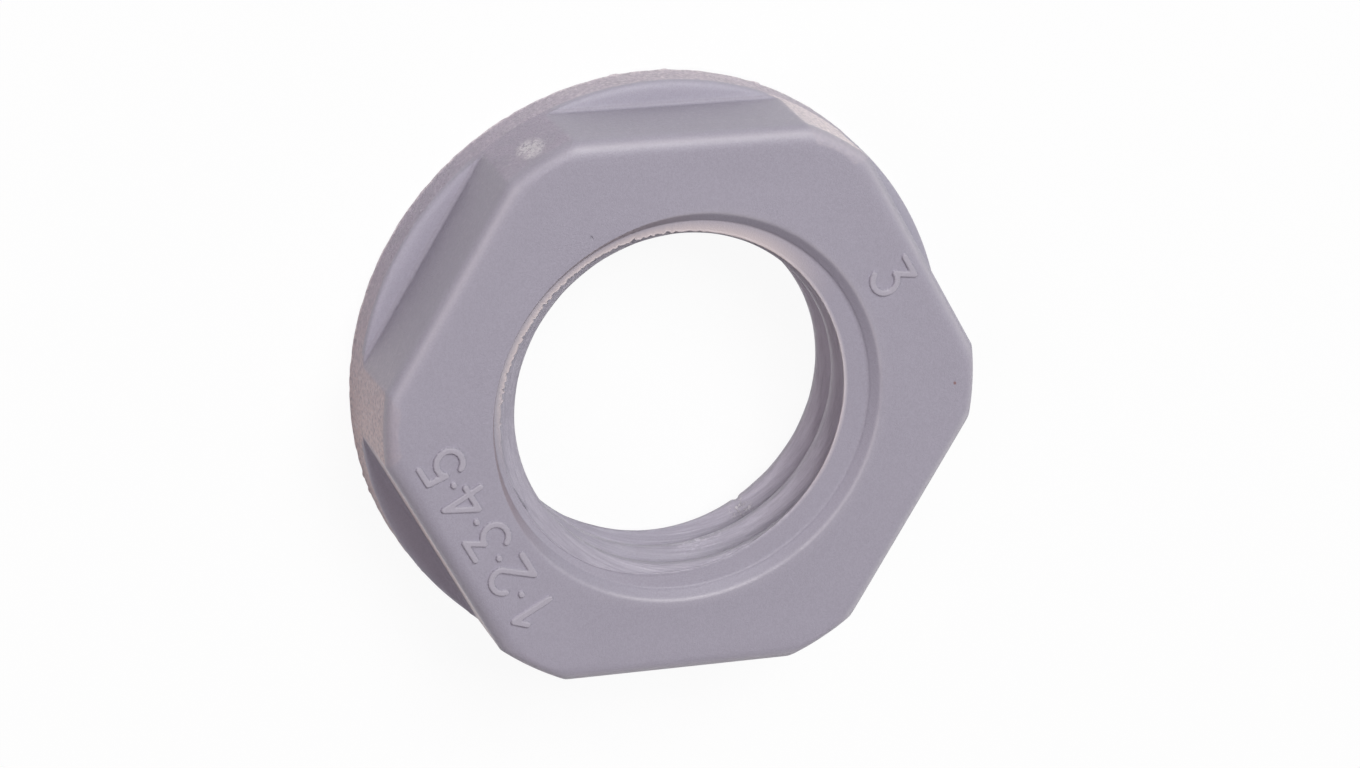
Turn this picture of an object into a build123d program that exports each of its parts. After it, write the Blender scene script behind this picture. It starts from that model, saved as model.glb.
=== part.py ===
from build123d import *
from build123d.topology import SkipClean
import os
from math import ceil, floor, radians, tan

# Hexagon locknut for an M12 x 1.5 cable gland, moulded in one piece.
# The seating face lies on Z = 0, the bore runs up +Z and a flat faces +X.

# Hexagon and flange, with a wall that makes the nut 18.0 across its flats
wall_at_flats = 2.95
height = 4.65
rim_beyond_flats = 0.85
draft_angle = 1.2
flange_thickness = 1.27
foot_radius = 0.12
rim_edge_radius = 0.2
front_edge_radius = 0.5
flats = 6

# Thread, right handed
thread_pitch = 1.5
thread_major_diameter = 12.1
thread_depth = 0.65
crest_width = 0.28
flank_angle = 30.0
crest_height_at_x = 1.44
span_angle = 60.0

# Ways in to the thread
recess_clearance = 0.15
recess_depth = 0.5
mouth_flare = 0.35
back_chamfer = 0.95

# Spare material by which a joined piece reaches into the body
overlap = 0.4

# Sizes worked out from those above
major_radius = thread_major_diameter / 2
half_flats = major_radius + wall_at_flats
flange_radius = half_flats + rim_beyond_flats
taper = tan(radians(draft_angle))
minor_radius = major_radius - thread_depth
recess_radius = major_radius + recess_clearance
recess_floor = height - recess_depth
flank_slope = tan(radians(flank_angle))
crest_trim = crest_width / 2
ledge_reach = flange_radius - flange_thickness * taper - rim_edge_radius


def revolved(points):
    """A solid of revolution about Z from (radius, height) points."""
    outline = make_face(Polyline(*points, close=True))
    return revolve(Plane.XZ * outline, axis=Axis.Z)


def side_radius(level):
    """The radius of the tapered side at a height above the seating face."""
    return flange_radius - level * taper


def hexagon():
    """The tapered disc cut to six flats. Its corners keep the disc's side as short lands."""
    disc = revolved([(0, 0), (flange_radius, 0), (side_radius(height), height), (0, height)])
    outline = RegularPolygon(half_flats, flats, major_radius=False, rotation=180 / flats)
    return disc & extrude(outline, amount=height)


def flange():
    """The round flange, which shows beside each flat as a level ledge with a rounded rim."""
    low = flange_thickness - rim_edge_radius
    with BuildSketch() as sketch:
        with BuildLine():
            Line((0, 0), (flange_radius, 0))
            Line((flange_radius, 0), (side_radius(low), low))
            TangentArc((ledge_reach, flange_thickness), (side_radius(low), low), tangent=(1, 0))
            Line((ledge_reach, flange_thickness), (0, flange_thickness))
            Line((0, flange_thickness), (0, 0))
        make_face()
    return revolve(Plane.XZ * sketch.sketch, axis=Axis.Z)


def foot():
    """The small round foot where the flat that faces +X meets the ledge."""
    foot_top = (half_flats, flange_thickness + foot_radius)
    foot_end = (half_flats + foot_radius, flange_thickness)
    inner = half_flats - overlap
    with BuildSketch() as sketch:
        with BuildLine():
            RadiusArc(foot_top, foot_end, foot_radius)
            Line(foot_end, (inner, flange_thickness))
            Line((inner, flange_thickness), (inner, foot_top[1]))
            Line((inner, foot_top[1]), foot_top)
        make_face()
    bar = extrude(Plane.XZ * sketch.sketch, amount=flange_radius, both=True)
    return bar & Cylinder(ledge_reach, 2 * height)


def body():
    """Hexagon, flange and feet in one, with the front edge rounded."""
    joined = hexagon() + flange()
    for index in range(flats):
        joined += Rot(0, 0, index * 360 / flats) * foot()
    front_edges = joined.faces().sort_by(Axis.Z)[-1].edges()
    return fillet(front_edges, front_edge_radius)


def thread_span():
    """One span of the thread's tooth, its crest trimmed to a true cylinder."""
    deep = minor_radius - crest_trim
    root = major_radius + crest_trim
    half_deep = crest_width / 2 - crest_trim * flank_slope
    half_root = crest_width / 2 + (root - minor_radius) * flank_slope
    middle = crest_height_at_x
    corners = [
        (deep, middle - half_deep),
        (root, middle - half_root),
        (root, middle + half_root),
        (deep, middle + half_deep),
    ]
    section = Plane.XZ * make_face(Polyline(*corners, close=True))
    rise = thread_pitch * span_angle / 360
    path = Pos(0, 0, middle) * Helix(pitch=thread_pitch, height=rise, radius=minor_radius)
    tooth = sweep(section, path=path, is_frenet=True)
    return tooth - Cylinder(minor_radius, 2 * (middle + rise + thread_pitch))


def thread():
    """Every span of the tooth that reaches into the nut, each turned and lifted in its place."""
    span = thread_span()
    rise = thread_pitch * span_angle / 360
    first = floor(-(thread_pitch + crest_height_at_x) / rise)
    last = ceil((height - crest_height_at_x) / rise)
    return [Pos(0, 0, index * rise) * Rot(0, 0, index * span_angle) * span for index in range(first, last)]


def front_recess():
    """Waste of the shallow recess at the front, whose wall flares out to the mouth."""
    mouth = recess_radius + mouth_flare
    past_front = height + 2 * thread_pitch
    wall = [(recess_radius, recess_floor), (mouth, height)]
    return revolved([(0, recess_floor), *wall, (mouth, past_front), (0, past_front)])


def back_entry():
    """Waste of the lead-in chamfer at the seating face."""
    mouth = minor_radius + back_chamfer
    past_back = -3 * thread_pitch
    cone = [(mouth, 0), (minor_radius, back_chamfer)]
    return revolved([(0, past_back), (mouth, past_back), *cone, (0, back_chamfer)])


def locknut():
    """The whole nut. Faces are not merged, so that each crest stays a short land."""
    bored = body() - Cylinder(major_radius, 4 * height)
    with SkipClean():
        threaded = bored.fuse(*thread())
        return threaded.cut(front_recess(), back_entry())


nut = locknut()
nut.label = "locknut"
os.makedirs("parts", exist_ok=True)
export_step(nut, "parts/locknut.step")
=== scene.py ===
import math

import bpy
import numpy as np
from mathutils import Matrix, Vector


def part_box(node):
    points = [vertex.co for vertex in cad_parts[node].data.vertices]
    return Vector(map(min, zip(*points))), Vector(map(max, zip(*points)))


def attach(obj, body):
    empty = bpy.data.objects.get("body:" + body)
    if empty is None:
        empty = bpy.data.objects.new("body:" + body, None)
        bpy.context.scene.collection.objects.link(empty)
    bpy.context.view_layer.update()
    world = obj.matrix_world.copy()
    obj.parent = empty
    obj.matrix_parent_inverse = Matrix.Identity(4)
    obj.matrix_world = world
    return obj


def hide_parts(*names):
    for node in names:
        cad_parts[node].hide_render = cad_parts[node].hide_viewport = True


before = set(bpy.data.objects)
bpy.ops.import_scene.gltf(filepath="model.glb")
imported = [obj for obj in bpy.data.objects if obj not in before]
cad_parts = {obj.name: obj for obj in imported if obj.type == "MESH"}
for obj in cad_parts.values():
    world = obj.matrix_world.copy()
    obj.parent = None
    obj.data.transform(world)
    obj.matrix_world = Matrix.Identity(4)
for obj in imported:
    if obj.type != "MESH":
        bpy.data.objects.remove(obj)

# %% [markdown]
# A cable gland locknut
#
# The object is a grey hexagon locknut, moulded in one shot of polyamide. It screws on the entry thread
# of a cable gland inside an enclosure. The loaded frame already holds its true solid. This lesson dresses
# that solid: it rebuilds the same form as one dense surface, with the soft edges, the flash and the skin
# that a mould leaves. All sizes below are in millimetres, and they become metres when a mesh is made.

MM = 0.001
PER_MM = 1000.0
TURN = 2 * math.pi

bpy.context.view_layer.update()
low_corner, high_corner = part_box("locknut")
nut_height = (high_corner[2] - low_corner[2]) / MM
flange_reach = (high_corner[0] - low_corner[0]) / 2 / MM
print("nut height", round(nut_height, 3), "flange reach", round(flange_reach, 3))

# %% [markdown]
# Small tools for whole arrays
#
# Moulded plastic has no perfectly straight line. The edges wander by a few hundredths of a millimetre and
# thin flash stands up in ragged teeth. Both come from sums of sine waves round the bore: they close on
# themselves after one turn, need no random lookups, and give the same result on each run.


# %% Soft steps, soft limits and ragged lines
def soft_step(value, start, end):
    """0 before start, 1 after end, and between them the cubic 3t^2 - 2t^3 of the fraction t."""
    t = np.clip((value - start) / (end - start), 0, 1)
    return t * t * (3 - 2 * t)


def soft_max(a, b, blend):
    """The larger of a and b, with a hyperbola of the given width in place of the corner."""
    return (a + b + np.sqrt((a - b) ** 2 + blend**2)) / 2


def soft_min(a, b, blend):
    """The smaller of a and b, rounded in the same way."""
    return -soft_max(-a, -b, blend)


def ragged(angle, first_wave, last_wave, seed):
    """A closed ragged line about 0, from whole waves round the turn, each with a seeded phase, and
    each as high as the inverse root of its number. Its spread is scaled to 1."""
    rng = np.random.default_rng(seed)
    waves = np.arange(first_wave, last_wave)
    phases = rng.uniform(0, TURN, len(waves))
    heights = rng.normal(0, 1, len(waves)) / np.sqrt(waves)
    line = (np.sin(angle[..., None] * waves + phases) * heights).sum(-1)
    return line / np.sqrt((heights**2).sum() / 2)


print("ragged line spread", round(float(ragged(np.linspace(0, TURN, 500), 20, 90, 1).std()), 3))

# %% [markdown]
# Places round the nut
#
# Much of what is seen belongs to one side of the nut: the torn film, the crisp part of the mouth, painted
# warm light, a painted highlight on a corner. Each is named by its angle in degrees, counted from the flat
# that faces
# +X. A side could be painted by hand, but an angle and a width say the same in two numbers.


# %% Sides by their angle
def degrees_apart(angle, centre):
    """The signed angle in degrees from centre to angle, between -180 and 180."""
    return (np.degrees(angle) - centre + 180) % 360 - 180


def side(angle, centre, inner, outer):
    """1 within inner degrees of the centre, 0 beyond outer, and a soft step between."""
    return 1 - soft_step(np.abs(degrees_apart(angle, centre)), inner, outer)


def bell(angle, centre, width):
    """A bell curve of the angle: e to the power of minus the square of (degrees from centre / width)."""
    return np.exp(-((degrees_apart(angle, centre) / width) ** 2))


print("a bell of 30 degrees, 30 degrees away:", bell(np.radians([30.0]), 0, 30).round(3))

# %% [markdown]
# Columns that follow the spanner flats
#
# The body is a tapered disc with six scoops cut in its side. Each scoop is a flat for the spanner, a crisp
# crease and a level ledge on the flange. A plain polar grid would cut its outline into steps. Here the
# columns of the grid lean instead, so that one column always runs along the outline of each scoop.

# %% The sizes of the body
flash_room = 0.05
rim_radius = flange_reach - flash_room
sign_rise = 0.08
face_height = nut_height - sign_rise
half_flats = 9.0
corner_radius = 9.75
flange_thickness = 1.27
foot_radius = 0.12
ledge_fall = 0.015
front_edge = 0.5
corner_edge = 0.32
corner_blend = 0.3
rim_edge = 0.40
rim_drop = 0.20
mouth_radius = 6.58

half_sector = math.radians(30)
sector_columns = 106
scoop_columns = 80
scoop_share = scoop_columns / sector_columns
scoop_half_angle = half_sector * scoop_share
print("columns", 6 * sector_columns, "cone from", round(rim_radius, 3), "to", corner_radius)


# %% Cone, outline and leaning columns
def cone_radius(height):
    """The disc's tapered side: a straight line from the rim radius to the corner radius."""
    return rim_radius + (corner_radius - rim_radius) * height / face_height


def scoop_angle(flat, cone):
    """Half the angle that a scoop spans, where a plane at distance flat meets a circle of radius cone."""
    return np.arccos(np.clip(flat / cone, -1, 1))


def column_angles(half_span):
    """The angles of all columns when each scoop spans half_span to both sides. Inside a scoop the columns
    spread evenly over its span, and outside they spread evenly over what is left of the 30 degrees."""
    sector = np.repeat(np.arange(6), sector_columns)
    place = np.tile(np.arange(sector_columns) / sector_columns * 2 - 1, 6)
    inside = np.abs(place) / scoop_share * half_span
    past_scoop = (np.abs(place) - scoop_share) / (1 - scoop_share)
    outside = half_span + (half_sector - half_span) * past_scoop
    from_flat = np.sign(place) * np.where(np.abs(place) <= scoop_share, inside, outside)
    return sector * 2 * half_sector + from_flat, from_flat


def outline_radius(from_flat, flat, cone, blend=0.0):
    """The body's outline: the nearer of a straight flat and the round cone, with a blend at the corner."""
    return soft_min(flat / np.cos(from_flat), cone, blend)


even_angles, _ = column_angles(scoop_half_angle)
print("scoop half angle", round(math.degrees(scoop_half_angle), 2))

# %% [markdown]
# Rings, leaning rows and sand
#
# Every row of the grid is one closed line round the nut. The rows walk from the mouth of the bore over the
# front face, round its soft edge, down the flats, round the small foot, over the ledge and down the flange.
# Where the mould was spark eroded, each point also moves in or out a little, as real relief.

# %% Rows of points
grain_height = 0.007
grain_limit = 2.5


def ring(angle, radius, height):
    """A closed row of points from its angles, radii and heights."""
    angle, radius, height = np.broadcast_arrays(angle, radius, height)
    return np.stack([radius * np.cos(angle), radius * np.sin(angle), height], axis=-1)


def side_row(flat, cone, height, blend=0.0):
    """One row on the body's side, with its columns leaning to the ends of the scoops."""
    angle, from_flat = column_angles(scoop_angle(flat, cone))
    return ring(angle, outline_radius(from_flat, flat, cone, blend), height)


def steps(count):
    """The even fractions after 0, up to and with 1."""
    return np.linspace(0, 1, count + 1)[1:]


def curve(start, corner, end, count):
    """Rows on the quadratic curve that leaves start and meets end on its way to the corner:
    (1 - t)^2 start + 2 t (1 - t) corner + t^2 end."""
    return [(1 - t) ** 2 * start + 2 * t * (1 - t) * corner + t**2 * end for t in steps(count)]


def sandy(rows, shares, seed):
    """The same rows with a grain on them: each point moves in or out by a seeded normal number times the
    grain height and its share of grain."""
    rng = np.random.default_rng(seed)
    grid = np.stack(rows)
    outward = grid[..., :2] / np.linalg.norm(grid[..., :2], axis=-1, keepdims=True)
    moves = np.clip(rng.normal(0, 1, grid.shape[:2]), -grain_limit, grain_limit) * grain_height * shares
    grid[..., :2] += outward * moves[..., None]
    return list(grid)


print("a ring has", len(ring(even_angles, rim_radius, 0.0)), "points")

# %% [markdown]
# The front face and its soft edge
#
# Thick plastic sinks a little in the middle as it cools, and its edges come out of the mould softly rounded.
# The face is a blend from the mouth of the bore to the six-sided outline. The mouth itself isn't the same
# all round: it is crisp and a little narrower at the upper left of the picture, and soft across the bore.

# %% Rows of the face
sink_depth = 0.012
face_wander = 0.004
mouth_narrowing = 0.19


def crispness(angle):
    """How crisp the mouth of the recess is: 1 around 125 degrees, and falling to 0 to both sides."""
    return side(angle, 125, 34, 76)


def mouth_edge(angle):
    """The radius where the face turns into the recess: the mouth radius, and less where it is crisp."""
    return mouth_radius - mouth_narrowing * crispness(angle)


def front_face_rows(count):
    """Rows that blend from the mouth to the inner side of the front edge, lowered by the square of a
    sine, and with a long slow wander between the two."""
    flat = half_flats - front_edge
    cone = cone_radius(face_height) - corner_edge
    angle, from_flat = column_angles(scoop_angle(flat, cone))
    outer = outline_radius(from_flat, flat, cone, corner_blend)
    inner = mouth_edge(angle)
    wander = face_wander * ragged(angle, 2, 9, 11)
    rows = []
    for part in steps(count):
        sink = sink_depth * math.sin(math.pi * part) ** 2
        height = face_height - sink + wander * part * (1 - part)
        rows.append(ring(angle, inner + part * (outer - inner), height))
    return rows


def front_edge_rows(count):
    """A quarter circle from the front face to the side. It is narrower on the six corners, and its turns
    from a flat to a corner are softest at the face."""
    rows = []
    for turn in steps(count) * math.pi / 2:
        left = 1 - math.sin(turn)
        height = face_height - front_edge * (1 - math.cos(turn))
        cone = cone_radius(height) - corner_edge * left
        rows.append(side_row(half_flats - front_edge * left, cone, height, corner_blend * left))
    return rows


print("mouth from", mouth_radius - mouth_narrowing, "to", mouth_radius)

# %% [markdown]
# Down the side: flat, foot, ledge, rim and flange
#
# A spanner flat ends in a small hollow foot and a ledge. The rim's rounding is a quadratic curve in each
# column. It starts later where the ledge is narrow, so that it closes by itself at the pointed ends of a
# scoop. A bevel on a cut mesh would break up at those points.

# %% Rows of the side
least_ledge = 0.25
ledge_blend = 0.02
flange_bottom = 0.16


def flat_rows(count):
    """Straight rows down the spanner flats."""
    heights = np.linspace(face_height - front_edge, flange_thickness + foot_radius, count + 1)[1:]
    return [side_row(half_flats, cone_radius(height), height) for height in heights]


def foot_rows(count):
    """A small hollow quarter circle from the flats out to the ledge."""
    rows = []
    for turn in steps(count) * math.pi / 2:
        height = flange_thickness + foot_radius * (1 - math.sin(turn))
        flat = half_flats + foot_radius * (1 - math.cos(turn))
        rows.append(side_row(flat, cone_radius(height), height))
    return rows


def ledge_rows(flat_count, round_count):
    """Straight rows over the ledge, which falls a hair towards the rim, and then a curve round the corner
    between the ledge and the side. At least a quarter of the ledge stays straight in each column."""
    flat = half_flats + foot_radius
    top_radius = cone_radius(flange_thickness)
    low_height = flange_thickness - rim_drop
    angle, from_flat = column_angles(scoop_angle(flat, top_radius))
    inner = outline_radius(from_flat, flat, top_radius)
    outer = soft_max(top_radius - rim_edge, inner + least_ledge * (top_radius - inner), ledge_blend)
    outer = np.minimum(outer, top_radius)
    rows = []
    for part in steps(flat_count):
        rows.append(ring(angle, inner + part * (outer - inner), flange_thickness - ledge_fall * part))
    corner = ring(angle, top_radius, flange_thickness - ledge_fall)
    end = ring(angle, cone_radius(low_height), low_height)
    return rows + curve(rows[-1], corner, end, round_count)


def flange_rows(count):
    """Rows down the flange, whose columns swing back to even spacing."""
    top = flange_thickness - rim_drop
    lean = scoop_angle(half_flats + foot_radius, cone_radius(flange_thickness))
    rows = []
    for part in steps(count):
        height = top + part * (flange_bottom - top)
        span = lean + (scoop_half_angle - lean) * float(soft_step(part, 0, 1))
        angle, _ = column_angles(span)
        rows.append(ring(angle, cone_radius(height), height))
    return rows


ledge_width = cone_radius(flange_thickness) - half_flats - foot_radius
print("ledge", round(ledge_width, 3), "wide at its middle")

# %% [markdown]
# The parting line and the seating face
#
# The two halves of the mould meet at the seating face, and a thin lip of flash stands out there, finely
# ragged. In a few places a sum of slower waves is high enough to leave a nub. The back of the nut isn't seen
# in the picture, so the seating face is finished plainly.

# %% Rows of the rim's flash and of the seat
lip_reach = 0.018
lip_raggedness = 0.005
lip_limit = 0.05
lip_rows = ((0.2, 0.10), (0.8, 0.055), (1, 0.03), (1, 0.008))
lip_turn = 0.03
seat_start = 0.12


def back_rim_rows():
    """Rows over the lip, each at a share of its reach and at a height, and a last one turned in under it."""
    fine = lip_reach + lip_raggedness * ragged(even_angles, 30, 150, 5)
    nubs = lip_limit * soft_step(ragged(even_angles, 20, 110, 6), 1.5, 2.4)
    lip = np.clip(fine + nubs, 0, lip_limit)
    rows = [ring(even_angles, rim_radius + share * lip, height) for share, height in lip_rows]
    return rows + [ring(even_angles, rim_radius + lip - lip_turn, 0.0)]


def seat_rows(count, inner_radius):
    """Flat rows over the seating face."""
    radii = np.linspace(rim_radius - seat_start, inner_radius, count)
    return [ring(even_angles, radius, 0.0) for radius in radii]


print("flash reaches", lip_reach, "to", lip_limit)

# %% [markdown]
# The thread
#
# The ridge of the thread winds up the bore, 1.5 mm higher with each turn, as a right-hand screw. A height
# on the wall belongs to a ridge by its distance to the nearest ridge's middle. That distance, less half the
# crest, grows into the wall along a 30 degree flank, and soft limits round the crest and the root. A cone at
# the back cuts the first turn away, as the lead-in does on the real nut.

# %% The sizes of the thread
pitch = 1.5
crest_radius = 5.425
root_depth = 0.625
half_crest = 0.14
flank_slope = 1 / math.tan(math.radians(30))
crest_round = 0.06
ridge_angle = 100
ridge_height = 3.36
lead_in_height = 0.97
lead_in_radius = 5.46
chip_angle, chip_height = 272.5, 1.02
chip_depth, chip_width, chip_rise = 0.10, 0.09, 0.11
wall_rows = 66
wall_start = 0.03
print("crest", crest_radius, "root", crest_radius + root_depth)


# %% The wall of the bore
def ridge_distance(angle, height):
    """The distance along Z from a point of the wall to the middle of the nearest ridge."""
    middle = ridge_height + pitch * degrees_apart(angle, ridge_angle) / 360
    return np.abs((height - middle + pitch / 2) % pitch - pitch / 2)


def thread_radius(angle, height):
    """Crest radius plus the depth of the groove, which rises with the flank and is limited at the root."""
    climb = (ridge_distance(angle, height) - half_crest) * flank_slope
    depth = soft_min(soft_max(climb, 0, crest_round), root_depth, crest_round)
    return crest_radius + depth


def lead_in(height):
    """The 45 degree cone of the lead-in, from its small end up the bore to its wide end at the back."""
    return lead_in_radius + lead_in_height - height


def chip(angle, height):
    """A small chip at the inner end of the lead-in: a bell curve of the distance from its middle."""
    across = np.radians(degrees_apart(angle, chip_angle)) * crest_radius
    return chip_depth * np.exp(-((across / chip_width) ** 2) - ((height - chip_height) / chip_rise) ** 2)


def wall_radius(angle, height):
    """The thread where it is wider than the lead-in cone, and the cone elsewhere, with one chip."""
    return np.maximum(thread_radius(angle, height), lead_in(height)) + chip(angle, height)


def bore_rows(count, top):
    """Rows up the wall at even heights, from just above the back to just below the floor."""
    heights = np.linspace(wall_start, top, count)
    return [ring(even_angles, wall_radius(even_angles, height), height) for height in heights]


print("wall at the back", round(float(wall_radius(0.0, wall_start)), 3))

# %% [markdown]
# The edge of the recess floor
#
# The recess at the front cuts the thread off nearly level. Where the cut crosses a ridge it leaves a thin
# film that reaches over the groove, with torn teeth where the film is thinnest. A dark line under the film
# comes from that overhang, so it is real geometry here: rows run out under the film, round its edge and
# back over it. Where the floor ends outside the groove, its edge is worn to a slope.

# %% Film
floor_height = 4.22
film_thickness = 0.05
film_limit = 0.3
film_inset = 0.012
film_outset = 0.01
notch_depth = 0.06
tooth_depth = 0.017

# The floor's inner edge as measured in the picture: degrees round the nut, and radii
edge_places = np.array([0, 30, 60, 75, 90, 120, 135, 165, 180, 195,
                        210, 225, 240, 255, 270, 285, 315, 345, 360])
edge_radii = np.array([5.45, 5.63, 5.79, 5.88, 5.96, 5.98, 6.03, 6.06, 5.99, 5.97,
                       5.89, 5.75, 5.61, 5.52, 5.42, 5.36, 5.33, 5.38, 5.45])


def film_edge_radius(angle):
    """The radius at which the floor ends: read between set places round the turn, with a fine ragged line
    and a few deeper notches where the film is torn."""
    torn = side(angle, 108, 38, 60)
    notches = notch_depth * soft_step(ragged(angle, 60, 230, 8), 0.2, 1.6)
    teeth = tooth_depth * ragged(angle, 90, 300, 9)
    return np.interp(np.degrees(angle) % 360, edge_places, edge_radii) + torn * (notches + teeth)


def film_rows():
    """Out along the film's underside, round its edge and back on top of it, as five rows. A row's height
    is its steep share of the film's thickness, or its sloped share where the edge is worn."""
    below = floor_height - film_thickness
    wall = wall_radius(even_angles, below)
    edge = np.minimum(film_edge_radius(even_angles), wall + film_limit)
    worn = side(even_angles, 208, 25, 45) * soft_step(edge - wall, 0.0, 0.05)
    radii = [wall + (edge - wall) * 0.35, wall + (edge - wall) * 0.75]
    radii += [edge - film_inset, edge - film_inset, edge + film_outset]
    rows = []
    for radius, steep, sloped in zip(radii, (0, 0, 0.3, 0.7, 1), (0.35, 0.75, 0.94, 0.97, 1)):
        share = steep + (sloped - steep) * worn
        rows.append(ring(even_angles, radius, below + film_thickness * share))
    return rows, edge


print("floor's inner edge at 0 and 180 degrees", film_edge_radius(np.array([0.0, math.pi])).round(3))

# %% [markdown]
# The floor, the flared wall and the mouth
#
# The floor climbs a little towards its wall. The wall flares out to the mouth, and it is steeper where the
# mouth is crisp, as if the core pin had stood a little out of centre. Straight rows up a cone and one curve
# round its corner are enough for it.

# %% Floor, recess wall and mouth
recess_radius = 6.17
recess_height = 4.28
foot_shift = 0.10
foot_step_out, foot_step_up = 0.01, 0.02
mouth_corner = 6.49
corner_narrowing = 0.11
round_share, crisp_share = 0.22, 0.16


def recess_foot_radius(angle):
    """The foot of the recess wall: the recess radius plus a bell curve of the angle about 145 degrees."""
    return recess_radius + foot_shift * bell(angle, 145, 45)


def floor_rows(edge, count):
    """Over the floor from the film's edge to the recess wall, with a slight rise towards the wall."""
    start = edge + film_outset
    foot = recess_foot_radius(even_angles)
    rows = []
    for part in steps(count):
        height = floor_height + (recess_height - floor_height) * part
        rows.append(ring(even_angles, start + part * (foot - start), height))
    return rows


def recess_rows(count, round_count):
    """Up the flared wall of the recess, a straight cone, and then round the corner that the cone would
    make with the face. The rounding takes a smaller share of the cone where the mouth is crisp."""
    crisp = crispness(even_angles)
    foot_radii = recess_foot_radius(even_angles) + foot_step_out
    foot = ring(even_angles, foot_radii, recess_height + foot_step_up)
    corner = ring(even_angles, mouth_corner - corner_narrowing * crisp, face_height)
    end = ring(even_angles, mouth_edge(even_angles), face_height)
    start = corner + (foot - corner) * (round_share - crisp_share * crisp)[:, None]
    rows = [foot + (start - foot) * part for part in np.linspace(0, 1, count)]
    return rows + curve(start, corner, end, round_count)


print("recess", round(face_height - recess_height, 2), "deep at its wall")

# %% [markdown]
# One closed surface
#
# All rows in order make a grid that closes both ways, like the skin of a ring. It is a single piece, as the
# real nut is, and it replaces the plain solid in the picture.


# %% Build the ring
def mesh_piece(name, vertices, faces):
    """A smooth piece from points in millimetres and four-sided faces, turned to point outwards."""
    mesh = bpy.data.meshes.new(name)
    mesh.from_pydata(vertices * MM, [], faces[:, ::-1])
    mesh.shade_smooth()
    piece = bpy.data.objects.new(name, mesh)
    bpy.context.scene.collection.objects.link(piece)
    return piece


def grid_piece(name, rows):
    """A piece from rows of points that close along the row and from the last row to the first."""
    grid = np.stack(rows)
    index = np.arange(grid.shape[0] * grid.shape[1]).reshape(grid.shape[:2])
    right = np.roll(index, -1, axis=1)
    up = np.roll(index, -1, axis=0)
    corner = np.roll(right, -1, axis=0)
    return mesh_piece(name, grid.reshape(-1, 3), np.stack([index, right, corner, up], axis=-1).reshape(-1, 4))


edge_count, floor_count = 9, 7
cone_count, round_count = 6, 5
corner_grain = 0.8
sector_place = np.abs(np.tile(np.arange(sector_columns) / sector_columns * 2 - 1, 6))
on_corner = soft_step(sector_place, scoop_share - 0.01, scoop_share + 0.02)
film, film_edge = film_rows()
blocks = {
    "front": front_face_rows(9),
    "front_edge": front_edge_rows(edge_count),
    "flat": sandy(flat_rows(14), on_corner * corner_grain, 31),
    "foot": foot_rows(4),
    "ledge": ledge_rows(4, 6),
    "flange": sandy(flange_rows(9), 1.0, 32),
    "back_rim": back_rim_rows(),
    "seat": seat_rows(4, lead_in(0) + wall_start),
    "bore": bore_rows(wall_rows, floor_height - film_thickness),
    "film": film,
    "floor": floor_rows(film_edge, floor_count),
    "recess": recess_rows(cone_count, round_count),
}
all_rows = [row for block in blocks.values() for row in block]
nut = grid_piece("locknut_body", all_rows)
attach(nut, "root")
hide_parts("locknut")
print("rows", len(all_rows), "triangles", 2 * len(nut.data.polygons))

# %% [markdown]
# What the vertices carry
#
# The material has to know where it is: on the sandy rim, on a flat, in the thread, on the torn film. Masks
# from coordinates alone would be long and would blur at the edges of the rows. The rows know it already, so
# each vertex carries a few numbers for the material to read.

# %% Numbers on the vertices
points = np.stack(all_rows)
point_angle = np.arctan2(points[..., 1], points[..., 0])


def add_attribute(piece, name, values):
    """One number for each vertex of the piece, under a name that a material can read."""
    attribute = piece.data.attributes.new(name, "FLOAT", "POINT")
    attribute.data.foreach_set("value", np.asarray(values, dtype=np.float32).ravel())


def carry(name, values):
    """A number on each vertex of the ring, repeated along the rows where only the rows differ."""
    add_attribute(nut, name, np.broadcast_to(values, point_angle.shape))


def on_blocks(**values):
    """A column with a number for each row. A block's name gives one number for all of its rows, or an
    array with one for each, and the rows of all other blocks have 0."""
    parts = [np.broadcast_to(values.get(name, 0.0), len(rows)) for name, rows in blocks.items()]
    return np.concatenate(parts).astype(float)[:, None]


# Skins: the sandy rim and corners, the speckled flats, the polished thread, and a painted sheen on the ledges
rim_rows = on_blocks(flange=1, back_rim=1)
thread_rows = on_blocks(bore=1, film=1)
land = on_blocks(front_edge=0.15, flat=1, foot=1, ledge=1) * on_corner
sandy_skin = np.maximum(rim_rows, land)
carry("coarse_skin", sandy_skin)
carry("flat_skin", on_blocks(flat=1, foot=0.6) * (1 - on_corner))
# Painted sheen on the ledges
carry("ledge_sheen", on_blocks(ledge=1) * (1 - on_corner))
carry("thread_skin", thread_rows)

# The winding of the thread, as the two coordinates of a circle that turns once per pitch
winding = TURN * (points[..., 2] / pitch - point_angle / TURN)
carry("helix_x", np.cos(winding))
carry("helix_y", np.sin(winding))
print("skins carried by", point_angle.size, "points")

# %% [markdown]
# Painted warm light, highlights, glow and shade
#
# The sandy skin has painted warm light at the left of the picture, and a painted highlight at its upper
# right, where light grazes a corner and the rim; the left flat gets both, and the rim's flash lip is pale.
# The thin floor has a painted glow, the recess wall beside it painted shade, and the edges a painted
# highlight. Each of these is a side of the nut times some of its rows.

# %% Painted light and shade
# Painted warm light: the sand at the left and the left flat are tinted tan
carry("warm_light_tan", np.maximum(bell(point_angle, 160, 24) * sandy_skin,
                              bell(point_angle, 180, 24) * on_blocks(flat=0.9)))
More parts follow.
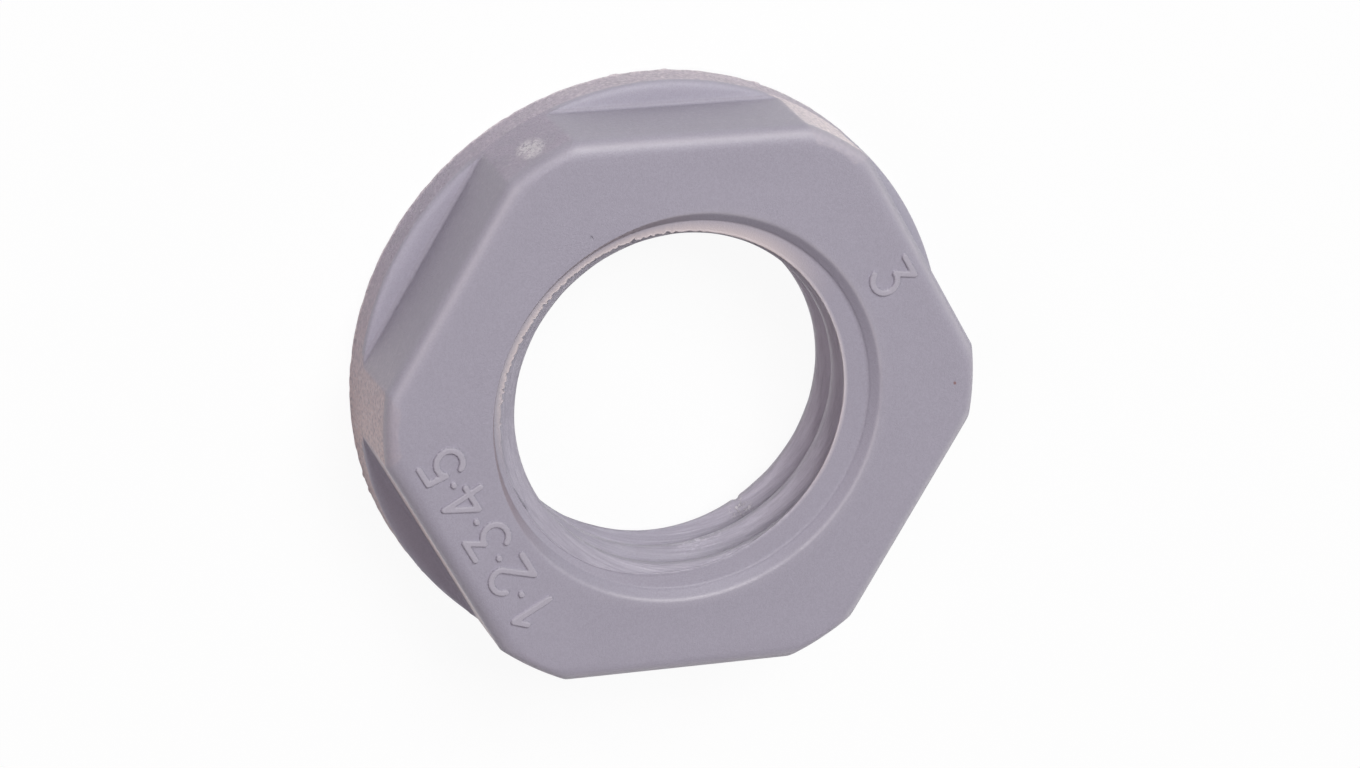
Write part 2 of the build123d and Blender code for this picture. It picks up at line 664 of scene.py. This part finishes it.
# Painted highlights where light grazes the corner at 28 degrees, the upper rim and the left flat; the flash
# lip is pale
highlight_and_pale_lip = [
    bell(point_angle, 28, 17) * land,
    0.4 * bell(point_angle, 55, 36) * rim_rows,
    0.35 * bell(point_angle, 180, 24) * on_blocks(flat=1),
    np.broadcast_to(on_blocks(back_rim=np.array([0.2, 0.6, 0.6, 0.4, 0])), point_angle.shape),
]
carry("highlight_and_pale_lip", np.stack(highlight_and_pale_lip).max(0))

# Painted glow: light that passes through the thin film and floor is painted into their colour
floor_glow_rows = on_blocks(film=1, floor=np.linspace(1, 0.15, floor_count))
carry("painted_floor_glow", side(point_angle, 85, 45, 85) * floor_glow_rows)
# Painted shade in the recess wall on the crisp side
wall_shade = np.concatenate([np.ones(cone_count + 1), [0.7, 0.4, 0, 0]])
carry("wall_shade", side(point_angle, 125, 40, 75) * on_blocks(recess=wall_shade))
# Painted light on the thread's right side
lit_side = bell(point_angle, 345, 55)
carry("lit_side", lit_side * thread_rows)
# Painted highlight on the film's edge, on the lit side
film_edge_highlight = on_blocks(film=np.array([0, 0, 0.3, 1, 0.6]))
carry("film_edge_highlight", film_edge_highlight * soft_step(lit_side, 0.1, 0.6))

# Painted highlight along the front edges and the mouth of the recess
edge_shine = np.exp(-(((np.arange(edge_count) - 3) / 1.3) ** 2))
mouth_shine = np.concatenate([np.zeros(cone_count - 1), [0.2, 0.7, 1, 0.8, 0.4, 0.2]])
edge_highlight = on_blocks(front_edge=edge_shine, recess=mouth_shine)
edge_highlight = edge_highlight * (1 - crispness(point_angle) * on_blocks(recess=1))
shaded_side = bell(point_angle, 178, 32)
carry("edge_highlight", edge_highlight * (1 - 0.4 * on_corner) * (1 - shaded_side))
print("attributes", len(nut.data.attributes))

# %% [markdown]
# Raised numbers on the front face
#
# Moulded fittings carry small raised signs on the front face, along one flat and beside the opposite one.
# Here they are plain counting numbers. Each number is a set of pen strokes. The height over the face is a
# rounded ridge that depends only on the distance to the nearest stroke, so crossings merge by themselves.

# %% The pen strokes
sign_height = 1.34
sign_width = 0.62 * sign_height
dot_width = 0.05
stroke_half_width = 0.112


def bow(centre, radius, start, end, count=14):
    """Points along an arc given in degrees."""
    angle = np.radians(np.linspace(start, end, count))
    return np.stack([centre[0] + radius[0] * np.cos(angle), centre[1] + radius[1] * np.sin(angle)], axis=-1)


strokes = {
    "1": np.array([[0.10, 0.76], [0.36, 1.0], [0.36, 0.0]]),
    "2": np.vstack([bow((0.30, 0.72), (0.30, 0.28), 165, -28), [[0.0, 0.0], [0.62, 0.0]]]),
    "3": np.vstack([[[0.04, 1.0], [0.56, 1.0], [0.27, 0.61]],
                    bow((0.27, 0.31), (0.32, 0.31), 90, -150)]),
    "4": np.array([[0.46, 0.0], [0.46, 1.0], [0.0, 0.30], [0.64, 0.30]]),
    "5": np.vstack([[[0.56, 1.0], [0.12, 1.0], [0.06, 0.54]],
                    bow((0.28, 0.32), (0.32, 0.32), 125, -150)]),
    ".": np.array([[0.0, 0.50], [0.02, 0.50]]),
}
print("signs", "".join(strokes))

# %% [markdown]
# Ridges along the strokes
#
# Text objects would give sharp letters of one font. A height field over a fine grid gives the soft,
# slightly full shape of a sign that was engraved in the mould. Outside the strokes the plate dips into the
# body, so only the ridges show.

# %% The plates
plate_margin = 0.3
plate_cell = 0.03
plate_dip = 0.35
ridge_steepness = 3.0
ridge_blend = 0.12


def stroke_distance(spots, path):
    """The distance from each spot to a path of straight steps: the least over its steps, where a step's
    nearest point is its own foot, kept between its two ends."""
    best = np.full(spots.shape[:-1], np.inf)
    for start, end in zip(path[:-1], path[1:]):
        along = end - start
        share = np.clip(((spots - start) @ along) / (along @ along), 0, 1)
        best = np.minimum(best, np.linalg.norm(spots - start - share[..., None] * along, axis=-1))
    return best


def sign_plate(text, gap):
    """A grid over a row of signs, with the height of the ridges above the face at each point. The ridge is
    a hill with a flat top, 3 (1 - (d / w)^2) of the distance d cut off at 1, and outside it the plate
    dips below the face."""
    widths = [sign_width if sign != "." else dot_width for sign in text]
    length = sum(widths) + gap * (len(text) - 1)
    across = np.arange(-plate_margin, length + plate_margin, plate_cell)
    up = np.arange(-plate_margin, sign_height + plate_margin, plate_cell)
    spots = np.stack(np.meshgrid(across, up, indexing="xy"), axis=-1)
    nearest = np.full(spots.shape[:-1], np.inf)
    left = 0.0
    for sign, width in zip(text, widths):
        placed = strokes[sign] * sign_height + np.array([left, 0.0])
        nearest = np.minimum(nearest, stroke_distance(spots, placed))
        left += width + gap
    hill = ridge_steepness * (1 - (nearest / stroke_half_width) ** 2)
    rise = sign_rise * soft_min(np.clip(hill, -plate_dip, None), 1.0, ridge_blend)
    return spots - np.array([length / 2, sign_height / 2]), rise


row_spots, row_rise = sign_plate("1.2.3.4.5", 0.31)
single_spots, single_rise = sign_plate("3", 0.3)
print("plates", row_rise.shape, single_rise.shape)

# %% [markdown]
# Place the numbers
#
# Each plate becomes a closed box: the ridged top, a flat underside inside the body, and four walls. The
# reading direction runs round the nut, with the tops of the numbers towards the flat.

# %% One piece of numbers
row_turn, row_distance = math.pi, 7.52
single_turn, single_distance = 0.0, 7.72
plate_sink = 0.004
plate_depth = 0.25


def box_faces(rows, cols):
    """The faces of a closed box between two grids of points, the second numbered after the first."""
    index = np.arange(rows * cols).reshape(rows, cols)
    over = [index[:-1, :-1], index[:-1, 1:], index[1:, 1:], index[1:, :-1]]
    over = np.stack(over, axis=-1).reshape(-1, 4)
    border = np.concatenate([index[0, :-1], index[:-1, -1], index[-1, :0:-1], index[:0:-1, 0]])
    following = np.roll(border, -1)
    walls = np.stack([border, border + rows * cols, following + rows * cols, following], axis=-1)
    return np.concatenate([over, over[:, ::-1] + rows * cols, walls])


def plate_piece(name, plates):
    """One mesh from several plates. A plate's up direction points outwards from the bore."""
    vertices = []
    faces = []
    offset = 0
    for spots, rise, turn, distance in plates:
        outward = np.array([math.cos(turn), math.sin(turn)])
        reading = np.array([outward[1], -outward[0]])
        place = spots[..., :1] * reading + (spots[..., 1:] + distance) * outward
        top = np.concatenate([place, face_height - plate_sink + rise[..., None]], axis=-1)
        bottom = np.concatenate([place, np.full(rise.shape + (1,), face_height - plate_depth)], axis=-1)
        vertices += [top.reshape(-1, 3), bottom.reshape(-1, 3)]
        faces.append(box_faces(*rise.shape) + offset)
        offset += 2 * rise.size
    return mesh_piece(name, np.concatenate(vertices), np.concatenate(faces))


signs = plate_piece("raised_numbers", [
    (row_spots, row_rise, row_turn, row_distance),
    (single_spots, single_rise, single_turn, single_distance),
])
lift = np.concatenate([part for rise in (row_rise, single_rise)
                       for part in (rise.ravel() / sign_rise, np.full(rise.size, -1.0))])
add_attribute(signs, "sign_top", soft_step(lift, 0.75, 1.0))
# Painted shade at the foot of the strokes
add_attribute(signs, "sign_foot_shade", soft_step(lift, -0.3, 0.1) * (1 - soft_step(lift, 0.35, 0.8)))
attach(signs, "root")
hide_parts("locknut")
print("numbers:", len(signs.data.polygons), "faces")

# %% [markdown]
# Shader maths as plain expressions
#
# A material here is a small calculation over the surface. The class below wraps a socket, so that an
# expression such as 1 - mask * 0.5 adds the Math nodes by itself.


# %% Wrap the sockets
class Wire:
    """A socket of a node tree that can be added, multiplied and so on."""

    def __init__(self, tree, socket=None):
        self.tree = tree
        self.socket = socket

    def node(self, kind, settings=None, output=0, **inputs):
        """A new node of a kind: its settings are set first, then each input socket, by number or name, is
        linked to a wire or gets a value."""
        new = self.tree.nodes.new(kind)
        for key, value in (settings or {}).items():
            setattr(new, key, value)
        for key, value in inputs.items():
            socket = new.inputs[int(key[1:])] if key[1:].isdigit() else new.inputs[key.replace("_", " ")]
            if isinstance(value, Wire):
                self.tree.links.new(value.socket, socket)
            else:
                socket.default_value = value
        return Wire(self.tree, new.outputs[output])

    def maths(self, operation, *values):
        """A Math node on one, two or three values."""
        named = {f"i{place}": value for place, value in enumerate(values)}
        return self.node("ShaderNodeMath", {"operation": operation}, **named)

    def __add__(self, other):
        return self.maths("ADD", self, other)

    def __radd__(self, other):
        return self.maths("ADD", other, self)

    def __sub__(self, other):
        return self.maths("SUBTRACT", self, other)

    def __rsub__(self, other):
        return self.maths("SUBTRACT", other, self)

    def __mul__(self, other):
        return self.maths("MULTIPLY", self, other)

    def __rmul__(self, other):
        return self.maths("MULTIPLY", other, self)

    def larger(self, other):
        """The larger of two numbers."""
        return self.maths("MAXIMUM", self, other)

    def step(self, start, end):
        """A soft step from 0 at start to 1 at end."""
        settings = {"interpolation_type": "SMOOTHSTEP"}
        return self.node("ShaderNodeMapRange", settings, i0=self, i1=start, i2=end, i3=0.0, i4=1.0)

    def to(self, node, socket):
        """Link this wire to a socket of a node."""
        self.tree.links.new(self.socket, node.inputs[socket])


def new_material(name):
    """An empty material, and its Principled shader and output, which are linked."""
    material = bpy.data.materials.new(name)
    material.use_nodes = True
    tree = material.node_tree
    tree.nodes.clear()
    output = tree.nodes.new("ShaderNodeOutputMaterial")
    shader = tree.nodes.new("ShaderNodeBsdfPrincipled")
    tree.links.new(shader.outputs[0], output.inputs[0])
    return material, shader, output


print("shader tools ready")

# %% [markdown]
# Grey polyamide
#
# The plastic is a cool grey with a trace of violet. Four skins meet on it. The front face and the ledges are
# satin with a very fine grain. The rim and the six corners were spark eroded in the mould and look sandy, a
# little lighter and warmer. The flats have a finer speckle. The thread came off a polished core, with fine
# lines along its winding; its colour is lifted as painted light in the shaded bore, and painted highlights
# lie on its lines in places. One material reads the numbers on the vertices and mixes all four, because the
# real nut is one shot of plastic and its skins run into each other.

# %% The plastic's colours
body_grey = (0.355, 0.333, 0.398, 1)
deep_grey = (0.27, 0.25, 0.30, 1)
sand_grey = (0.42, 0.368, 0.45, 1)
thread_painted_light_grey = (0.49, 0.455, 0.545, 1)
pale_grey = (0.68, 0.64, 0.68, 1)
white_grey = (0.86, 0.77, 0.77, 1)
scuff_grey = (0.74, 0.71, 0.73, 1)
shine_grey = (0.84, 0.80, 0.88, 1)
highlight_cream = (0.90, 0.72, 0.60, 1)
warm_light_colour = (0.74, 0.57, 0.52, 1)
glow_grey = (0.64, 0.56, 0.56, 1)
ledge_sheen_grey = (0.58, 0.57, 0.67, 1)
speck_and_shade_brown = (0.20, 0.09, 0.08, 1)

plastic, plastic_shader, _ = new_material("grey_polyamide_skin")
start = Wire(plastic.node_tree)
place = start.node("ShaderNodeTexCoord", output="Object")
print("material", plastic.name)


# %% Its calculations
def carried(attribute):
    """A number that the vertices carry."""
    return start.node("ShaderNodeAttribute", {"attribute_name": attribute}, output="Fac")


def noise(per_mm, detail=2.0, rough=0.5):
    """Noise on Object coordinates with a number of cells per millimetre."""
    scale = per_mm * PER_MM
    return start.node("ShaderNodeTexNoise", Vector=place, Scale=scale, Detail=detail, Roughness=rough)


def mixed(factor, first, second):
    """A colour mix by a factor."""
    return start.node("ShaderNodeMix", {"data_type": "RGBA", "clamp_factor": True}, output=2,
                      i0=factor, i6=first, i7=second)


def vector_maths(operation, output="Vector", **inputs):
    """A Vector Math node."""
    return start.node("ShaderNodeVectorMath", {"operation": operation}, output=output, **inputs)


def near(centre, reach, inner, outer):
    """1 inside and 0 outside a soft ellipsoid: the length of the offset from its centre, with each
    axis divided by its reach. All lengths in millimetres."""
    offset = vector_maths("SUBTRACT", i0=place, i1=tuple(value * MM for value in centre))
    scaled = vector_maths("MULTIPLY", i0=offset, i1=tuple(PER_MM / value for value in reach))
    return 1 - vector_maths("LENGTH", output="Value", i0=scaled).step(inner, outer)


coarse, flats, thread = carried("coarse_skin"), carried("flat_skin"), carried("thread_skin")
warm_lit_mask, highlight_and_lip_mask, edge_highlight_mask = carried("warm_light_tan"), carried("highlight_and_pale_lip"), carried("edge_highlight")

# Noises from the widest to the finest, in cells per millimetre
clouds = noise(0.35, 3.0)
patches = noise(1.6, 3.0)
sand = noise(8.5, 3.0, 0.65)
grains = noise(17.0, 2.0, 0.6)
dust = noise(36.0, 1.0, 0.5)
print("noises done, nodes", len(plastic.node_tree.nodes))

# %% [markdown]
# Lines of the thread, painted glints, and single marks
#
# The core was turned, so its fine lines run along the winding. Noise on plain coordinates can't follow a
# screw. Here it is read on a circle that turns once per pitch, and the place on the nut only shifts it
# slowly. Four single marks come from soft ellipsoids, roughened by noise so that none looks stamped. A fifth
# ellipsoid holds painted glints.

# %% Lines and marks
drift_per_mm = 1.2
circle_size = 6.5
circle = start.node("ShaderNodeCombineXYZ", i0=carried("helix_x"), i1=carried("helix_y"), i2=0.0)
drift = vector_maths("SCALE", i0=place, Scale=drift_per_mm * PER_MM)
wound = vector_maths("MULTIPLY", i0=circle, i1=(circle_size, circle_size, 0.0))
lined = vector_maths("ADD", i0=drift, i1=wound)
lines = start.node("ShaderNodeTexNoise", Vector=lined, Scale=1.0, Detail=6.0, Roughness=0.85)

# A pale scuff on one corner, a scratched spot and a zone of painted glints in the thread, a nick, and a brown
# speck
scuff = near((0.04, 9.77, 3.05), (0.54, 0.5, 0.85), 0.55, 1.05) * noise(11.0, 3.0, 0.7).step(0.36, 0.56)
scratch = near((0.15, -5.6, 1.5), (0.62, 0.7, 0.55), 0.30, 1.0) * noise(7.0, 3.0, 0.75).step(0.50, 0.60)
# A zone of painted glints in the thread
glints = near((-1.7, -5.3, 2.1), (1.5, 0.9, 0.8), 0.3, 1.1)
glint_spots = glints * noise(9.0, 3.0, 0.75).step(0.53, 0.61)
nick = near((0.12, 6.79, 4.57), (0.06, 0.11, 0.2), 0.2, 1.0)
speck = near((7.84, -4.42, 4.5), (0.07, 0.09, 0.2), 0.4, 1.0)
print("marks done, nodes", len(plastic.node_tree.nodes))

# %% [markdown]
# Colour, one layer over the other
#
# Each line lays one colour over what is below it: first the sandy skin with its painted warm light, then the
# light and dark grains, the painted highlights, the thread, the floor's painted glow, and last the signs and
# the marks.

# %% Colour
colour = mixed(coarse * (0.45 + 0.5 * patches.step(0.3, 0.7)), body_grey, sand_grey)
# Painted warm light at the left, as a tan tint
colour = mixed(warm_lit_mask * (0.5 + 0.5 * sand.step(0.35, 0.65)), colour, warm_light_colour)

# Grains: strongest where the sand has painted light, faint on the flats, and a fine one everywhere
grainy = coarse * (0.4 + 0.6 * warm_lit_mask.larger(highlight_and_lip_mask)) + flats * (0.22 + 0.6 * warm_lit_mask)
colour = mixed(grainy * sand.step(0.52, 0.68) * 0.85, colour, pale_grey)
colour = mixed(grainy * (1 - sand.step(0.32, 0.48)) * 0.7, colour, deep_grey)
colour = mixed(grains.step(0.38, 0.62) * 0.32 + clouds.step(0.3, 0.7) * 0.08, colour, deep_grey)
# Painted highlight on the grazed sand and the left flat, and the pale flash lip
colour = mixed(highlight_and_lip_mask * (0.45 + 0.55 * sand.step(0.35, 0.65)), colour, white_grey)

# The bore and its recess with painted light and shade, and painted highlights and sheen on edges and ledges
# Painted shade in the recess wall
colour = mixed(carried("wall_shade") * 0.35, colour, speck_and_shade_brown)
# The thread is lightened as painted light in the shaded bore
colour = mixed(thread * 0.38, colour, thread_painted_light_grey)
# Painted light on the lit side of the thread
colour = mixed(carried("lit_side") * 0.5, colour, pale_grey)
# Painted highlight on the edges
colour = mixed(edge_highlight_mask * 0.25, colour, pale_grey)
# Painted sheen on the ledges
colour = mixed(carried("ledge_sheen") * 0.12, colour, ledge_sheen_grey)
# Painted glow of the thin floor
colour = mixed(carried("painted_floor_glow") * 0.85, colour, glow_grey)

# The raised signs catch light on top and get painted shade at the foot
colour = mixed(carried("sign_top") * 0.18, colour, pale_grey)
colour = mixed(carried("sign_foot_shade") * 0.65, colour, deep_grey)

# Lighter thread lines with painted sheen and glints, dark lines, the film edge's painted highlight, and marks
# The thread's lines are lighter, with painted sheen on them and painted glints in one zone
lines_and_sheen = lines.step(0.49, 0.58) * (0.20 + 0.55 * glints)
colour = mixed(thread * (lines_and_sheen + 0.7 * glint_spots), colour, shine_grey)
colour = mixed(thread * (1 - lines.step(0.42, 0.50)) * 0.22, colour, deep_grey)
# Painted highlight on the film's edge
colour = mixed(carried("film_edge_highlight") * 0.22, colour, highlight_cream)
colour = mixed(scuff * 0.75 + scratch * 0.8, colour, scuff_grey)
colour = mixed(nick * 0.2, colour, deep_grey)
colour = mixed(speck * 0.85, colour, speck_and_shade_brown)
colour.to(plastic_shader, "Base Color")
print("colour done, nodes", len(plastic.node_tree.nodes))

# %% [markdown]
# Gloss and relief
#
# Satin plastic is neither dull nor wet. Highlighted edges and the thread are smoother, the sandy skin
# rougher.
# A bump of a few hundredths of a millimetre adds the fine grain, the thread's lines and the marks. The
# sand of the rim and of the corners also moves the real surface, so that it shows in their outline.

# %% Roughness and bump
relief = 0.01
refraction = 1.5

smoothed = 0.12 * edge_highlight_mask + thread * (0.08 + 0.22 * lines.step(0.42, 0.62))
roughness = 0.44 + 0.08 * patches + 0.14 * coarse - smoothed
roughness.to(plastic_shader, "Roughness")

height = 0.9 * dust + 0.7 * grains + 0.4 * patches - 3.0 * nick
height = height + coarse * (2.8 * sand + 1.4 * grains) + flats * (1.0 * sand + 1.2 * grains)
height = height + thread * (3.5 * lines) + scuff * 1.5 + scratch * 2.5
bump = start.node("ShaderNodeBump", Strength=1.0, Distance=relief * MM, Height=height)
bump.to(plastic_shader, "Normal")
plastic_shader.inputs["IOR"].default_value = refraction

for piece in (nut, signs):
    piece.data.materials.append(plastic)
print("material", plastic.name, "nodes", len(plastic.node_tree.nodes))

# %% [markdown]
# The white table
#
# The nut lies on its seating face on a white table. A photographer lights such a table from behind until it
# is pure white. Here most of the table's shader is swapped for a white glow, only for rays from the camera
# and for those that are mirrored or bent, so that the glow adds no light to the nut.

# %% The table
table_glow = 0.93
table_reach = 3000
table_shade, table_cloud = 0.86, 0.03
table_clouds_per_mm = 0.2
table_roughness = 0.9


def seen_rays(wire):
    """1 for the rays of the camera, of mirrors and of glass, and 0 for the rays that carry light."""
    kinds = ("Camera", "Glossy", "Transmission")
    camera_ray, glossy_ray, bent_ray = [
        wire.node("ShaderNodeLightPath", output=f"Is {kind} Ray") for kind in kinds
    ]
    return camera_ray.larger(glossy_ray.larger(bent_ray))


def white_table(name, reach):
    """A flat square under the nut. Its shade for light is pale grey, and what is seen of it is mixed with
    white by table_glow."""
    mesh = bpy.data.meshes.new(name)
    corners = np.array([[-1, -1, 0], [1, -1, 0], [1, 1, 0], [-1, 1, 0]]) * reach * MM
    mesh.from_pydata(corners, [], [[0, 1, 2, 3]])
    piece = bpy.data.objects.new(name, mesh)
    bpy.context.scene.collection.objects.link(piece)
    material, shader, output = new_material("table_white")
    wire = Wire(material.node_tree)
    spot = wire.node("ShaderNodeTexCoord", output="Object")
    cloud = wire.node("ShaderNodeTexNoise", Vector=spot, Scale=table_clouds_per_mm * PER_MM, Detail=3.0)
    shade = table_shade + table_cloud * cloud
    wire.node("ShaderNodeCombineColor", i0=shade, i1=shade, i2=shade).to(shader, "Base Color")
    shader.inputs["Roughness"].default_value = table_roughness
    glow = wire.node("ShaderNodeEmission", Color=(1, 1, 1, 1), Strength=1.0)
    base = Wire(wire.tree, shader.outputs[0])
    wire.node("ShaderNodeMixShader", i0=seen_rays(wire) * table_glow, i1=base, i2=glow).to(output, 0)
    mesh.materials.append(material)
    return piece


table = white_table("table_top", table_reach)
print("table", 2 * table_reach, "mm wide")

# %% [markdown]
# Lamps and the white room
#
# The ledges on the left of the picture are dark, so the light comes over the nut from the other side. One
# large soft lamp stands high at the upper right, and a weaker, slightly rosy one fills from the upper left.
# A third lies low at the lower right and lights the recess from across the bore. The room itself is white
# to the eye and gives only a little light.

# %% Lamps and world
room_light = 0.06
world = bpy.data.worlds.new("studio_white")
bpy.context.scene.world = world
world.use_nodes = True
room = world.node_tree.nodes["Background"]
room.inputs["Color"].default_value = (1, 1, 1, 1)
room_seen = seen_rays(Wire(world.node_tree))
(room_light + (1 - room_light) * room_seen).to(room, "Strength")


def soft_lamp(name, azimuth, elevation, distance, size, power, colour=(1, 1, 1)):
    """A square area lamp on a sphere round the nut, turned to face it. Angles in degrees, sizes in mm."""
    lamp = bpy.data.lights.new(name, "AREA")
    lamp.color = colour
    lamp.size = size * MM
    lamp.energy = power
    holder = bpy.data.objects.new(name, lamp)
    bpy.context.scene.collection.objects.link(holder)
    a = math.radians(azimuth)
    e = math.radians(elevation)
    away = np.array([math.cos(e) * math.cos(a), math.cos(e) * math.sin(a), math.sin(e)])
    sideways = np.array([-math.sin(a), math.cos(a), 0.0])
    turn = Matrix(np.stack([sideways, np.cross(away, sideways), away], axis=-1).tolist()).to_4x4()
    holder.matrix_world = Matrix.Translation((away * distance * MM).tolist()) @ turn
    return holder


lamp_distance = 400
large_lamp, small_lamp = 240, 200
rosy = (1, 0.87, 0.94)
soft_lamp("key_lamp", 42, 55, lamp_distance, large_lamp, 1.46)
soft_lamp("left_fill", 152, 50, lamp_distance, small_lamp, 0.37, rosy)
soft_lamp("low_fill", 300, 12, lamp_distance, small_lamp, 0.24)

# %% [markdown]
# The camera
#
# The camera stands where the photographer's stood, as worked out from the outline, the front edges and the
# bore. A long lens far away would hide how the bore narrows, so the true distance of 15 cm matters. Its
# three directions are rounded numbers, and a QR split makes them square to each other again.

# %% The camera at the photograph's own place
focal_px = 4734.137
frame_width_px = 1360
sensor_width = 36.0
nearest_seen, farthest_seen = 0.01, 20
camera_place = (-13.15, 67.05, 137.04)
camera_right = (0.8355, -0.4534, 0.3105)
camera_down = (-0.5421, -0.7723, 0.3310)
camera_ahead = (0.0897, -0.4449, -0.8911)

lens = bpy.data.cameras.new("photo_camera")
lens.sensor_width = sensor_width
lens.lens = focal_px / frame_width_px * sensor_width
lens.clip_start, lens.clip_end = nearest_seen, farthest_seen
camera = bpy.data.objects.new("photo_camera", lens)
bpy.context.scene.collection.objects.link(camera)
axes = np.stack([camera_right, -np.array(camera_down), -np.array(camera_ahead)], axis=-1)
square_axes, _ = np.linalg.qr(axes)
square_axes = square_axes * np.sign((square_axes * axes).sum(0))
stand = Matrix.Translation([value * MM for value in camera_place])
camera.matrix_world = stand @ Matrix(square_axes.tolist()).to_4x4()
bpy.context.scene.camera = camera
bpy.context.scene.view_settings.view_transform = "Standard"
print("lens", round(lens.lens, 2), "mm")

# %% [markdown]
# The end
#
# The view layer is updated once more. The finished piece has to stay inside the solid's box.

# %% The end
bpy.context.view_layer.update()
